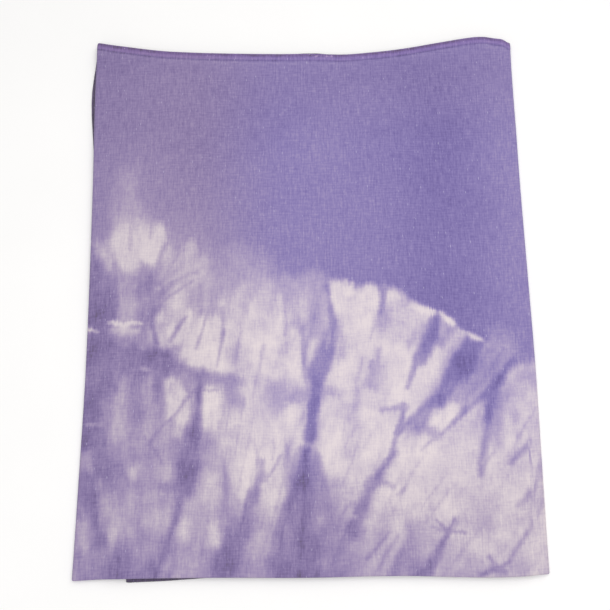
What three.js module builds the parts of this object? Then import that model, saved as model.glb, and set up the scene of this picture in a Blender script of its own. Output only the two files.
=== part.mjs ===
// A tie-dyed cotton tablecloth, folded flat for the shelf.
//
// The cloth is one sheet. It is folded in half, so that every panel has two plies joined by a
// long fold along its front edge, and both sides are then turned under the middle third:
// first the left flap, which lies in the middle, and then the right flap, which lies lowest.
// From the side the six layers are one back-and-forth section, a little apart.
//
// Millimetres, +X to the right, +Y from the front fold to the hem, +Z up.
// The origin is the middle of the underside's outline box, on the surface that the cloth lies on.

import * as THREE from 'three';

// The folded bundle
const HALF_WIDTH = 228;

// The cloth
const SHEET = 1.0;
const HEM_WIDTH = 10;
const HEM_EXTRA = 0.3;
const HEM_SLOPE = 1;

// Air between the layers
const PLY_GAP = 0.4;
const PANEL_GAP = 0.5;

// The layers stand a little further apart over the hems and over the front fold
const PUFF = 0.6;
const HEM_PUFF_FROM = 27;
const HEM_PUFF_FULL = 12;
const FRONT_PUFF_RUN = 25;

// Where a layer steps down off the edge of the flap below it
const STEP_CLEAR = 2;
const STEP_RUN = 30;

// How far the right-hand edge is pressed down, as a share of one panel's height, and over what run
const EDGE_PRESS = 0.7;
const EDGE_PRESS_RUN = 14;

// Divisions of the mesh
const ROUND_STEPS = 7;
const RAMP_STEPS = 5;
const BODY_ROWS = 7;

// Hem line of the middle third: `y` is the upper ply's hem, and `short` is how much lower the
// hem of the ply beneath it lies, so that a negative value peeps out
const HEM_LINE = [
  { x: -228, y: 568.5, short: 1.5 },
  { x: -200, y: 563.8, short: 2 },
  { x: -150, y: 556.5, short: 2 },
  { x: -100, y: 553.4, short: 1.5 },
  { x: -30, y: 551.2, short: 0.8 },
  { x: 12, y: 550.6, short: -1.5 },
  { x: 50, y: 549.8, short: 1 },
  { x: 100, y: 553.8, short: 2 },
  { x: 150, y: 561.8, short: 2 },
  { x: 190, y: 568, short: 2 },
  { x: 208, y: 568, short: 2 },
  { x: 222, y: 566.4, short: 2 },
  { x: 228, y: 562.5, short: 2 },
];

// Front fold line of the middle third
const FRONT_LINE = [
  { x: -228, y: -2.5 },
  { x: -195, y: -1 },
  { x: -100, y: -0.4 },
  { x: 0, y: -1.4 },
  { x: 60, y: -0.7 },
  { x: 100, y: -0.8 },
  { x: 135, y: -2 },
  { x: 175, y: -3 },
  { x: 205, y: -2.4 },
  { x: 228, y: -0.7 },
];

// The turned-under flaps: `hem` is how far their hems stop short of the middle third's hem
// line, and `front` is how far their front folds stop short of its front line, so that a
// negative value sticks out
const RIGHT_FLAP_EDGES = [
  { x: -228, hem: 5, front: -3 },
  { x: -177, hem: 4, front: -2.8 },
  { x: -140, hem: 3.4, front: -1.2 },
  { x: -105, hem: 3, front: 0.4 },
  { x: 60, hem: 3, front: 1.5 },
  { x: 180, hem: 6, front: 1.5 },
  { x: 228, hem: 0, front: 0 },
];
const LEFT_FLAP_EDGES = [
  { x: -228, hem: 0, front: 0 },
  { x: -180, hem: 4, front: 1.0 },
  { x: 0, hem: 2.5, front: 1.5 },
  { x: 200, hem: 7, front: 2.0 },
  { x: 228, hem: 7, front: 2.0 },
];

// The two side folds and the free edges of the two flaps, from the front to the hem
const SIDE_LINES = [
  { y: 0, left: -230, right: 231.1, rightFlapEnd: -177, leftFlapEnd: 209 },
  { y: 100, left: -227.7, right: 231.4, rightFlapEnd: -188, leftFlapEnd: 207 },
  { y: 200, left: -225.6, right: 231.7, rightFlapEnd: -200, leftFlapEnd: 205 },
  { y: 300, left: -225.3, right: 230.3, rightFlapEnd: -212, leftFlapEnd: 204 },
  { y: 400, left: -226.1, right: 228.8, rightFlapEnd: -223, leftFlapEnd: 202 },
  { y: 455, left: -227.2, right: 228.6, rightFlapEnd: -228.5, leftFlapEnd: 201 },
  { y: 505, left: -228, right: 228.2, rightFlapEnd: -232, leftFlapEnd: 200 },
  { y: 550, left: -227.8, right: 228.2, rightFlapEnd: -228.4, leftFlapEnd: 199 },
  { y: 570, left: -227.6, right: 228.8, rightFlapEnd: -226, leftFlapEnd: 198 },
];

// Smooth step from 0 to 1
const ease = (t) => THREE.MathUtils.smoothstep(t, 0, 1);
const mix = THREE.MathUtils.lerp;

// Value of one column of a table at a place between its rows: cubic through the rows, with
// each row's slope taken from its two neighbours
function column(table, place, name, at) {
  const last = table.length - 1;
  const t = THREE.MathUtils.clamp(at, table[0][place], table[last][place]);
  let i = 0;
  while (i < last - 1 && t > table[i + 1][place]) i += 1;
  const slope = (k) => {
    const a = table[Math.max(k - 1, 0)];
    const b = table[Math.min(k + 1, last)];
    return (b[name] - a[name]) / (b[place] - a[place]);
  };
  const span = table[i + 1][place] - table[i][place];
  const s = (t - table[i][place]) / span;
  const rise = table[i + 1][name] - table[i][name];
  const bend = (1 - s) * (slope(i) * span - rise) - s * (slope(i + 1) * span - rise);
  return table[i][name] + s * rise + s * (1 - s) * bend;
}

const hemLine = (x) => column(HEM_LINE, 'x', 'y', x);
const frontLine = (x) => column(FRONT_LINE, 'x', 'y', x);
const sideLine = (name, y) => column(SIDE_LINES, 'y', name, y);

// Height of the two plies of one panel together, at a place on the cloth
function pairHeight(x, y) {
  const fromHem = (hemLine(x) - y - HEM_PUFF_FULL) / (HEM_PUFF_FROM - HEM_PUFF_FULL);
  const fromFront = (y - frontLine(x)) / FRONT_PUFF_RUN;
  const puff = PUFF * (2 - ease(fromHem) - ease(fromFront));
  return 2 * SHEET + PLY_GAP + puff;
}

const pitch = (x, y) => pairHeight(x, y) + PANEL_GAP;

// How far the left flap is held up by the right flap below it: 1 on it, 0 past its edge
function heldUp(x, y) {
  return ease((x - sideLine('rightFlapEnd', y) + STEP_CLEAR + STEP_RUN) / STEP_RUN);
}

// How far the middle third is pressed down beyond the left flap's free edge
function pressedDown(x, y) {
  return EDGE_PRESS * ease((x - sideLine('leftFlapEnd', y)) / EDGE_PRESS_RUN);
}

// Heights of the middles of the three panels
const rightFlapHeight = (x, y) => pairHeight(x, y) / 2;
const leftFlapHeight = (x, y) => rightFlapHeight(x, y) + heldUp(x, y) * pitch(x, y);
const middleHeight = (x, y) => leftFlapHeight(x, y) + (1 - pressedDown(x, y)) * pitch(x, y);

// The round folds at the two sides: centre, radius of the middle of the pair
function rightFold(y) {
  const half = pairHeight(HALF_WIDTH, y) / 2;
  const radius = (1 - EDGE_PRESS / 2) * pitch(HALF_WIDTH, y);
  return { x: sideLine('right', y) - half - radius, z: half + radius, radius };
}

function leftFold(y) {
  const half = pairHeight(-HALF_WIDTH, y) / 2;
  const radius = pitch(-HALF_WIDTH, y) / 2;
  const x = sideLine('left', y) + half + radius;
  return { x, z: leftFlapHeight(x, y) + radius, radius };
}

// Where the step over the right flap's edge is drawn: at that edge, or just inside the left
// fold where the edge lies beyond it
function stepPlace(y) {
  return Math.max(sideLine('rightFlapEnd', y), leftFold(y).x + STEP_CLEAR + STEP_RUN);
}

// Places across each flat stretch, as functions of y, so that the mesh follows the steps
const pressPlaces = [];
const stepPlaces = [];
for (let i = 0; i <= RAMP_STEPS; i += 1) {
  const share = i / RAMP_STEPS;
  pressPlaces.push((y) => sideLine('leftFlapEnd', y) + (1 - share) * EDGE_PRESS_RUN);
  stepPlaces.push((y) => stepPlace(y) - STEP_CLEAR - share * STEP_RUN);
}

// Evenly spaced places strictly between two others
function between(from, to, count) {
  const places = [];
  for (let i = 1; i <= count; i += 1) {
    places.push((y) => mix(from(y), to(y), i / (count + 1)));
  }
  return places;
}

const rightFlapEnd = (y) => sideLine('rightFlapEnd', y);
const leftFlapEnd = (y) => sideLine('leftFlapEnd', y);
const rightFoldX = (y) => rightFold(y).x;
const leftFoldX = (y) => leftFold(y).x;

// One station of the path is a function of y that gives a point and the direction that the
// outer ply faces there; `across` is its rough place across the bundle, and `panel` says
// whose edges it follows
function flatStations(places, height, facing, panel) {
  return places.map((place) => ({
    panel,
    across: place,
    at: (y) => ({ x: place(y), z: height(place(y), y), nx: 0, nz: facing }),
  }));
}

function roundStations(fold, side, fromPanel, toPanel) {
  const stations = [];
  for (let i = 1; i < ROUND_STEPS; i += 1) {
    const share = i / ROUND_STEPS;
    const angle = side * (share - 0.5) * Math.PI;
    stations.push({
      panel: share < 0.5 ? fromPanel : toPanel,
      across: (y) => fold(y).x,
      at: (y) => {
        const { x, z, radius } = fold(y);
        const nx = side * Math.cos(angle);
        const nz = Math.sin(angle);
        return { x: x + radius * nx, z: z + radius * nz, nx, nz };
      },
    });
  }
  return stations;
}

const MIDDLE = 'middle';
const RIGHT_FLAP = 'right flap';
const LEFT_FLAP = 'left flap';

// The path of the pair of plies, seen from the front: right flap's free edge, right fold,
// middle third, left fold, left flap's free edge
const stations = [
  ...flatStations(
    [rightFlapEnd, ...between(rightFlapEnd, rightFoldX, 8), rightFoldX],
    rightFlapHeight,
    -1,
    RIGHT_FLAP,
  ),
  ...roundStations(rightFold, 1, RIGHT_FLAP, MIDDLE),
  ...flatStations(
    [
      rightFoldX,
      ...pressPlaces,
      ...between(pressPlaces[RAMP_STEPS], stepPlaces[0], 9),
      ...stepPlaces,
      ...between(stepPlaces[RAMP_STEPS], leftFoldX, 1),
      leftFoldX,
    ],
    middleHeight,
    1,
    MIDDLE,
  ),
  ...roundStations(leftFold, -1, MIDDLE, LEFT_FLAP),
  ...flatStations(
    [
      leftFoldX,
      ...between(leftFoldX, stepPlaces[RAMP_STEPS], 1),
      ...[...stepPlaces].reverse(),
      ...between(stepPlaces[0], leftFlapEnd, 6),
      leftFlapEnd,
    ],
    leftFlapHeight,
    -1,
    LEFT_FLAP,
  ),
];

// Hem and front fold of one station's own panel: `hems` are the outer and inner ply's hems
function edgesOf(station) {
  const x = station.across(hemLine(0) / 2);
  const hem = hemLine(x);
  const front = frontLine(x);
  const short = column(HEM_LINE, 'x', 'short', x);
  if (station.panel === MIDDLE) return { hems: [hem, hem - short], front };
  const table = station.panel === RIGHT_FLAP ? RIGHT_FLAP_EDGES : LEFT_FLAP_EDGES;
  const flapHem = hem - column(table, 'x', 'hem', x);
  return {
    hems: [flapHem, flapHem - Math.abs(short)],
    front: front + column(table, 'x', 'front', x),
  };
}

// Rows of one ply from its hem to the start of the front fold: `inset` is measured from the
// hem, `share` is the part of the rest of the way, `extra` is the hem's added thickness
function plyRows() {
  const rows = [
    { inset: 0, share: 0, extra: HEM_EXTRA },
    { inset: HEM_WIDTH, share: 0, extra: HEM_EXTRA },
    { inset: HEM_WIDTH + HEM_SLOPE, share: 0, extra: 0 },
    { inset: HEM_PUFF_FROM, share: 0, extra: 0 },
  ];
  for (let i = 1; i <= BODY_ROWS; i += 1) {
    rows.push({ inset: HEM_PUFF_FROM, share: i / BODY_ROWS, extra: 0 });
  }
  return rows;
}

// One station's section: a hairpin of two plies joined by the front fold, as matching lists
// of outer and inner points, each { y, n } with n measured along the outer ply's facing
function hairpin(station) {
  const { hems, front } = edgesOf(station);
  const outer = [];
  const inner = [];
  const addPly = (hem, side, rows) => {
    for (const { inset, share, extra } of rows) {
      const x = station.across(hem);
      const foldEnd = front + FRONT_PUFF_RUN;
      const y = mix(hem - inset, foldEnd, share);
      const half = pairHeight(x, y) / 2;
      outer.push({ y, n: side * half });
      inner.push({ y, n: side * (half - SHEET - extra) });
    }
  };
  const half = pairHeight(station.across(front), front) / 2;
  addPly(hems[0], 1, plyRows());
  for (let i = 0; i <= ROUND_STEPS; i += 1) {
    const angle = (i / ROUND_STEPS) * Math.PI;
    const reach = half - SHEET;
    const centre = front + half;
    outer.push({ y: centre - half * Math.sin(angle), n: half * Math.cos(angle) });
    inner.push({ y: centre - reach * Math.sin(angle), n: reach * Math.cos(angle) });
  }
  addPly(hems[1], -1, plyRows().reverse());
  return { outer, inner };
}

// The closed sheet: the hairpin carried along the path, with a strip of faces across the
// sheet's thickness at each free edge
function foldedCloth() {
  const positions = [];
  const indices = [];
  for (const station of stations) {
    const { outer, inner } = hairpin(station);
    for (const { y, n } of [...outer, ...inner.reverse()]) {
      const { x, z, nx, nz } = station.at(y);
      positions.push(x + n * nx, y, z + n * nz);
    }
  }
  const ring = positions.length / 3 / stations.length;
  const quad = (a, b, c, d) => indices.push(a, c, b, a, d, c);
  for (let s = 0; s < stations.length - 1; s += 1) {
    for (let i = 0; i < ring; i += 1) {
      const j = (i + 1) % ring;
      quad(s * ring + i, s * ring + j, (s + 1) * ring + j, (s + 1) * ring + i);
    }
  }
  const end = (stations.length - 1) * ring;
  for (let i = 0; i < ring / 2 - 1; i += 1) {
    const k = ring - 1 - i;
    quad(i, k, k - 1, i + 1);
    quad(end + i, end + i + 1, end + k - 1, end + k);
  }
  const geometry = new THREE.BufferGeometry();
  geometry.setAttribute('position', new THREE.Float32BufferAttribute(positions, 3));
  geometry.setIndex(indices);
  return geometry;
}

const geometry = foldedCloth();
geometry.computeBoundingBox();
const middle = geometry.boundingBox.getCenter(new THREE.Vector3());
geometry.translate(-middle.x, -middle.y, -geometry.boundingBox.min.z);
geometry.computeVertexNormals();

const tablecloth = new THREE.Mesh(
  geometry,
  new THREE.MeshStandardMaterial({ color: 0x9084b6, roughness: 0.95, metalness: 0 }),
);
tablecloth.name = 'tablecloth';

const model = new THREE.Group();
model.add(tablecloth);

export default model;
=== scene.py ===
"""A violet tie-dyed cotton tablecloth, folded in half and then in thirds, on a pale floor.

The cloth is one closed sheet, worked out on a grid: places across the cloth by places along it.
Lengths are millimetres until a mesh is made. `x` runs to the right across the folded bundle and
`y` from its front fold to its hem, as on the middle third, which lies on top.
"""

import bpy
import numpy as np
from mathutils import Matrix, Vector


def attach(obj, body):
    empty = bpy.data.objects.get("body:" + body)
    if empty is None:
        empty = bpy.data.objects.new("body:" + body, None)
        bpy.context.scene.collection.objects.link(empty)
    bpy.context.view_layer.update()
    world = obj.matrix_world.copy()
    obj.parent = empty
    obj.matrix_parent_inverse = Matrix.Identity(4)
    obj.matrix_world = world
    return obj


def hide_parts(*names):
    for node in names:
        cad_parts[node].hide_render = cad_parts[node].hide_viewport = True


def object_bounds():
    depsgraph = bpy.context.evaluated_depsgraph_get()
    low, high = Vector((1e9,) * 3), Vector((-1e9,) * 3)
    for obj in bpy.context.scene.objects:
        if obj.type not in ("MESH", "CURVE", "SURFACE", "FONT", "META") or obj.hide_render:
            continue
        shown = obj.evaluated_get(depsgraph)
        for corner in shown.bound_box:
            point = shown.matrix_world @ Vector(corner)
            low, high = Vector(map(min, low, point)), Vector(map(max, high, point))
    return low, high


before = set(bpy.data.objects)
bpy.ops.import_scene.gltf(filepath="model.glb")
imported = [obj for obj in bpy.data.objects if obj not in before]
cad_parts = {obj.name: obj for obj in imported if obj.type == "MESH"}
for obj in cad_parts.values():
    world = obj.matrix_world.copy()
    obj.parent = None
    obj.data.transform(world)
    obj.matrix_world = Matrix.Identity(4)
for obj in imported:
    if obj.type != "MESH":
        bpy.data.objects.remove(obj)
CAD_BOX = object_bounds()

MM = 0.001

# Every random number comes from this seed and a noise's own number. A noise is drawn on a lattice
# of so many cells a side, moved by these shares of a cell times its number
SEED = 11
LATTICE = 256
LATTICE_MOVES = (0.37, 0.61)


# --- Sizes of the folded bundle and of the cloth -------------------------------------------------

HALF_WIDTH = 228

# One ply of the solid model is 1 mm thick, and the real cloth is thinner on the same folds
SOLID_SHEET = 1.0
PLY_GAP = 0.4
PANEL_GAP = 0.5
SHEET = 0.55
HEM_SHEET = 1.1
HEM_WIDTH = 10.1
HEM_STITCH_INSET = 8.2

# The layers stand a little further apart over the hems and over the front fold
PUFF = 0.6
HEM_PUFF_FROM = 27
HEM_PUFF_FULL = 12
FRONT_PUFF_RUN = 25

# Where a layer steps down off the edge of the flap below it, and where the right edge is pressed
STEP_CLEAR = 2
STEP_RUN = 30
EDGE_PRESS = 0.7
EDGE_PRESS_RUN = 14

# How far the hems' edges wander, and over what length
HEM_WAVE = 0.3
HEM_WAVE_LENGTH = 26


def rows(names, *values):
    """A table: one row for each tuple, one named column for each word in names. What a row leaves
    out at its end is 0."""
    names = names.split()
    full = [row + (0,) * (len(names) - len(row)) for row in values]
    return np.array(full, dtype=[(name, float) for name in names])


# Hem line of the middle third, and how much lower the hem of the ply beneath it lies
HEM_LINE = rows(
    "x y short",
    (-228, 568.5, 1.5),
    (-200, 563.8, 2),
    (-150, 556.5, 2),
    (-100, 553.4, 1.5),
    (-30, 551.2, 0.8),
    (12, 550.6, -1.5),
    (50, 549.8, 1),
    (100, 553.8, 2),
    (150, 561.8, 2),
    (190, 568, 2),
    (208, 568, 2),
    (222, 566.4, 2),
    (228, 562.5, 2),
)

# Front fold line of the middle third
FRONT_LINE = rows(
    "x y",
    (-228, -2.5),
    (-195, -1),
    (-100, -0.4),
    (0, -1.4),
    (60, -0.7),
    (100, -0.8),
    (135, -2),
    (175, -3),
    (205, -2.4),
    (228, -0.7),
)

# How far the turned-under flaps' hems and front folds stop short of the middle third's
RIGHT_FLAP_EDGES = rows(
    "x hem front",
    (-228, 5, -3),
    (-177, 4, -2.8),
    (-140, 3.4, -1.2),
    (-105, 3, 0.4),
    (60, 3, 1.5),
    (180, 6, 1.5),
    (228, 0, 0),
)
LEFT_FLAP_EDGES = rows(
    "x hem front",
    (-228, 0, 0),
    (-180, 4, 1.0),
    (0, 2.5, 1.5),
    (200, 7, 2.0),
    (228, 7, 2.0),
)

# The two side folds and the free edges of the two flaps
SIDE_LINES = rows(
    "y left right right_flap_end left_flap_end",
    (0, -230, 231.1, -177, 209),
    (100, -227.7, 231.4, -188, 207),
    (200, -225.6, 231.7, -200, 205),
    (300, -225.3, 230.3, -212, 204),
    (400, -226.1, 228.8, -223, 202),
    (455, -227.2, 228.6, -228.5, 201),
    (505, -228, 228.2, -232, 200),
    (550, -227.8, 228.2, -228.4, 199),
    (570, -227.6, 228.8, -226, 198),
)


# --- Small mathematics ---------------------------------------------------------------------------


def ease(t):
    """Smooth step: 0 below 0, 1 above 1, and 3t^2 - 2t^3 between."""
    t = np.clip(t, 0, 1)
    return t * t * (3 - 2 * t)


def mix(a, b, share):
    """a at share 0, b at share 1."""
    return a + (b - a) * share


def column(table, name, at):
    """One column's value at any place: a cubic through the rows, with each row's slope taken
    from its two neighbours."""
    place = table[table.dtype.names[0]]
    value = table[name]
    last = len(place) - 1
    after = np.minimum(np.arange(last + 1) + 1, last)
    before = np.maximum(np.arange(last + 1) - 1, 0)
    slope = (value[after] - value[before]) / (place[after] - place[before])
    at = np.clip(at, place[0], place[-1])
    i = np.clip(np.searchsorted(place, at) - 1, 0, last - 1)
    span = place[i + 1] - place[i]
    s = (at - place[i]) / span
    rise = value[i + 1] - value[i]
    bend = (1 - s) * (slope[i] * span - rise) - s * (slope[i + 1] * span - rise)
    return value[i] + s * rise + s * (1 - s) * bend


def noise(u, v, size_u, size_v, number):
    """Smooth random values from -1 to 1: random numbers on a lattice of that spacing, blended by
    the smooth step between the four round each place."""
    lattice = np.random.default_rng(SEED + number).uniform(-1, 1, (LATTICE, LATTICE))
    a, b = u / size_u + LATTICE_MOVES[0] * number, v / size_v + LATTICE_MOVES[1] * number
    i, j = np.floor(a).astype(int), np.floor(b).astype(int)
    s, t = ease(a - i), ease(b - j)
    i0, i1, j0, j1 = i % LATTICE, (i + 1) % LATTICE, j % LATTICE, (j + 1) % LATTICE
    near = mix(lattice[i0, j0], lattice[i1, j0], s)
    far = mix(lattice[i0, j1], lattice[i1, j1], s)
    return mix(near, far, t)


def noises(table, u, v, number):
    """The sum of a table's noises, each times its depth. Their numbers go on from the first's."""
    layers = (
        row["depth"] * noise(u, v, row["across"], row["along"], number + k)
        for k, row in enumerate(table)
    )
    return sum(layers)


# --- The folds -----------------------------------------------------------------------------------


def hem_line(x):
    """y of the middle third's hem at x."""
    return column(HEM_LINE, "y", x)


def front_line(x):
    """y of the middle third's front fold at x."""
    return column(FRONT_LINE, "y", x)


def pair_height(x, y):
    """Height of the two plies of one panel together: two sheets and the air between them, with
    the puff eased in towards the hem and the front fold."""
    from_hem = (hem_line(x) - y - HEM_PUFF_FULL) / (HEM_PUFF_FROM - HEM_PUFF_FULL)
    from_front = (y - front_line(x)) / FRONT_PUFF_RUN
    return 2 * SOLID_SHEET + PLY_GAP + PUFF * (2 - ease(from_hem) - ease(from_front))


def pitch(x, y):
    """Height from one panel's underside to the next one's."""
    return pair_height(x, y) + PANEL_GAP


def held_up(x, y):
    """How far the left flap is held up by the right flap: 1 on it, eased to 0 past its edge."""
    past = x - column(SIDE_LINES, "right_flap_end", y) + STEP_CLEAR + STEP_RUN
    return ease(past / STEP_RUN)


def pressed_down(x, y):
    """How far the middle third is pressed down beyond the left flap's free edge."""
    past = x - column(SIDE_LINES, "left_flap_end", y)
    return EDGE_PRESS * ease(past / EDGE_PRESS_RUN)


def right_flap_height(x, y):
    """Height of the middle of the right flap's pair of plies, which lies on the floor."""
    return pair_height(x, y) / 2


def left_flap_height(x, y):
    """The same for the left flap: a pitch higher where the right flap holds it up."""
    return right_flap_height(x, y) + held_up(x, y) * pitch(x, y)


def middle_height(x, y):
    """The same for the middle third: a pitch above the left flap, and less where it is pressed."""
    return left_flap_height(x, y) + (1 - pressed_down(x, y)) * pitch(x, y)


def right_fold(y):
    """Centre and radius of the round right fold, taken at the middle of the pair of plies."""
    half = pair_height(HALF_WIDTH, y) / 2
    radius = (1 - EDGE_PRESS / 2) * pitch(HALF_WIDTH, y)
    return column(SIDE_LINES, "right", y) - half - radius, half + radius, radius


def left_fold(y):
    """Centre and radius of the tight left fold, taken at the middle of the pair of plies."""
    half = pair_height(-HALF_WIDTH, y) / 2
    radius = pitch(-HALF_WIDTH, y) / 2
    x = column(SIDE_LINES, "left", y) + half + radius
    return x, left_flap_height(x, y) + radius, radius


# The path of the pair of plies, seen from the front, has five stretches: right flap from its free
# edge, right fold, middle third, left fold, left flap to its free edge. A place on the path is the
# stretch's number plus the share of it that is done.
RIGHT_FLAP, RIGHT_FOLD, MIDDLE, LEFT_FOLD, LEFT_FLAP, PATH_END = range(6)


def path(place, y):
    """Where the middle of the pair of plies is: x, z, the direction (nx, nz) that the outer ply
    faces, and u, the distance across the flat cloth from its middle.

    The flat stretches run evenly from fold to free edge or fold to fold. The folds are half
    circles. u is x on the middle third, and goes on by arc length round both folds."""
    place, y = np.broadcast_arrays(np.asarray(place, float), np.asarray(y, float))
    stretch = np.minimum(np.floor(place), LEFT_FLAP).astype(int)
    share = place - stretch
    right_x, right_z, right_r = right_fold(y)
    left_x, left_z, left_r = left_fold(y)
    ends = {
        RIGHT_FLAP: (column(SIDE_LINES, "right_flap_end", y), right_x, right_flap_height, -1),
        MIDDLE: (right_x, left_x, middle_height, 1),
        LEFT_FLAP: (left_x, column(SIDE_LINES, "left_flap_end", y), left_flap_height, -1),
    }
    x, z, nx, nz = (np.zeros(place.shape) for _ in range(4))
    for number, (start, end, height, facing) in ends.items():
        here = stretch == number
        x = np.where(here, mix(start, end, share), x)
        z = np.where(here, height(x, y), z)
        nz = np.where(here, facing, nz)
    angle = (share - 0.5) * np.pi
    for number, side, cx, cz, r in (
        (RIGHT_FOLD, 1, right_x, right_z, right_r),
        (LEFT_FOLD, -1, left_x, left_z, left_r),
    ):
        here = stretch == number
        nx = np.where(here, side * np.cos(angle), nx)
        nz = np.where(here, side * np.sin(angle), nz)
        x = np.where(here, cx + r * nx, x)
        z = np.where(here, cz + r * nz, z)
    round_right, round_left = np.pi * right_r, np.pi * left_r
    u = np.select(
        [stretch == n for n in (RIGHT_FLAP, RIGHT_FOLD, MIDDLE, LEFT_FOLD)],
        [
            right_x + round_right + (right_x - x),
            right_x + round_right * (1 - share),
            x,
            left_x - round_left * share,
        ],
        left_x - round_left - (x - left_x),
    )
    return x, z, nx, nz, u


def edges(place):
    """Hem of the outer ply, hem of the inner ply and front fold line, for places on the path."""
    middle_y = hem_line(0.0) / 2
    x = path(place, middle_y)[0]
    hem, short = hem_line(x), column(HEM_LINE, "short", x)
    front = front_line(x)
    right_side = place < RIGHT_FOLD + 0.5
    left_side = place > LEFT_FOLD + 0.5
    for here, table in ((right_side, RIGHT_FLAP_EDGES), (left_side, LEFT_FLAP_EDGES)):
        hem = np.where(here, hem - column(table, "hem", x), hem)
        front = np.where(here, front + column(table, "front", x), front)
        short = np.where(here, np.abs(short), short)
    return hem, hem - short, front


# --- The sheet -----------------------------------------------------------------------------------

# Divisions: the middle third's outer ply, which shows, is divided finely and the rest coarsely.
# Along it the plain violet, a share of it from the hem, has longer steps than the petals
FINE = 1.8
VIOLET_STEP = 6.0
VIOLET_SHARE = 0.37
COARSE = 15.0
FOLD_STEPS = 9
RIM_STEPS = 5

# The hem on the cloth's right side: height over the cloth by distance from its cut edge. It is
# a ridge with a groove where the stitching pulls it in
RIM_RADIUS = HEM_SHEET / 2
HEM_PROFILE = rows(
    "inset rise",
    (RIM_RADIUS, -0.30),
    (1.3, -0.12),
    (2.2, -0.02),
    (3.2, 0.08),
    (4.4, 0.16),
    (5.6, 0.16),
    (6.9, 0.06),
    (7.6, -0.10),
    (8.2, -0.24),
    (8.8, -0.10),
    (9.5, 0.05),
    (10.1, 0.07),
    (10.8, -0.04),
    (12.2, -0.06),
    (14, -0.02),
    (16, 0),
)

# Past the hem's width the sheet thins from the hem's thickness to the cloth's over this length
HEM_EASE = 0.7

# Puckers of the hem: their height and length, and how far from the stitching they are full
PUCKER = 0.09
PUCKER_LENGTH = 7
PUCKER_REACH = 3

# The coarse rows by the hems, and a distance that stands for no edge near by
COARSE_INSETS = np.array([RIM_RADIUS, 2.2, 5.0, 8.2, 10.1, 10.8, 16])
NO_EDGE = 99


def evenly(start, end, step):
    """Places from start up to but not including end, about one step apart."""
    count = max(int(round(abs(end - start) / step)), 1)
    return mix(start, end, np.arange(count) / count)


def hairpin(insets, ply, inner_insets, inner_ply):
    """Rows of the section of one panel, from the outer ply's hem round the front fold to the
    inner ply's hem. A row is an inset from the hem, then a share of the way on from the last
    inset to the fold, then an angle round the fold: 0 on the outer ply and pi on the inner."""
    angle = np.linspace(0, np.pi, FOLD_STEPS + 1)
    parts = [
        (insets, 0 * insets, 0 * insets),
        (insets[-1] + 0 * ply, ply, 0 * ply),
        (insets[-1] + 0 * angle, 1 + 0 * angle, angle),
        (inner_insets[-1] + 0 * inner_ply, inner_ply[::-1], np.pi + 0 * inner_ply),
        (inner_insets[::-1], 0 * inner_insets, np.pi + 0 * inner_insets),
    ]
    return np.array([np.concatenate(part) for part in zip(*parts)])


def surface(places, section, wrong_side=False):
    """The sheet at places across it by the rows of a section along it.

    A point is the middle of its panel's pair of plies, moved by half the pair's height the way
    the ply faces there. Round the front fold that way turns from the outer ply's to the inner
    ply's. The right side has the hem's relief, and the wrong side lies the cloth's thickness
    below it.

    Gives the points, the way each faces, the flat cloth's u and v, where v is 0 at the front fold,
    positive on the outer ply and negative on the inner, and the distance from the hemmed edge."""
    place = np.asarray(places)[:, None]
    inset, share, angle = section[:, None, :]
    outer_hem, inner_hem, front = edges(place)
    outer = angle < np.pi / 2
    hem = np.where(outer, outer_hem, inner_hem)
    hem = hem + HEM_WAVE * noise(path(place, hem)[4], 0 * hem, HEM_WAVE_LENGTH, 1, 2 + outer)
    centre = front + pair_height(path(place, front)[0], front) / 2
    y = mix(hem - inset, centre, share)
    x, z, nx, nz, u = path(place, y)
    half = pair_height(x, y) / 2
    v = np.cos(angle) * (y - centre) + half * (np.pi / 2 - angle)
    facing = np.stack([nx * np.cos(angle), 0 * x - np.sin(angle), nz * np.cos(angle)], -1)

    right_end = column(SIDE_LINES, "right_flap_end", y)
    left_end = column(SIDE_LINES, "left_flap_end", y)
    flaps = [place < RIGHT_FOLD, place > LEFT_FLAP]
    from_side = np.select(flaps, [x - right_end, left_end - x], NO_EDGE)
    from_edge = np.minimum(hem - y, from_side + RIM_RADIUS)
    rise = column(HEM_PROFILE, "rise", from_edge)
    stitched = ease(2 - np.abs(from_edge - HEM_STITCH_INSET) / PUCKER_REACH)
    rise = rise + PUCKER * stitched * noise(u, v, PUCKER_LENGTH, PUCKER_LENGTH, 4)
    lowest = (place < RIGHT_FOLD + 0.5) & outer
    rise = np.where(lowest, np.minimum(rise, 0), rise)
    out = half + rise
    if wrong_side:
        hemmed = 1 - ease((from_edge - HEM_WIDTH) / HEM_EASE)
        out = out - mix(SHEET, HEM_SHEET, hemmed)
    points = np.stack([x, y + 0 * x, z], -1) + out[..., None] * facing
    return points, facing, u, v, from_edge


def grid_quads(numbers):
    """Four-cornered faces between the neighbours in a grid of point numbers."""
    a, b, c, d = numbers[:-1, :-1], numbers[1:, :-1], numbers[1:, 1:], numbers[:-1, 1:]
    return np.stack([a, b, c, d], -1).reshape(-1, 4)


def strip(line_a, line_b, at):
    """Triangles between two lines of point numbers that run side by side, each with its own
    spacing. The lines are walked together, and each step goes on along the one whose next point
    comes first, by its value in at."""
    order = np.argsort(np.concatenate([at[line_a[1:]], at[line_b[1:]]]), kind="stable")
    on_a = order < len(line_a) - 1
    i = np.cumsum(on_a) - on_a
    j = np.cumsum(~on_a) - ~on_a
    next_a = line_a[np.minimum(i + 1, len(line_a) - 1)]
    next_b = line_b[np.minimum(j + 1, len(line_b) - 1)]
    return np.stack([line_a[i], np.where(on_a, next_a, next_b), line_b[j]], -1)


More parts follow.
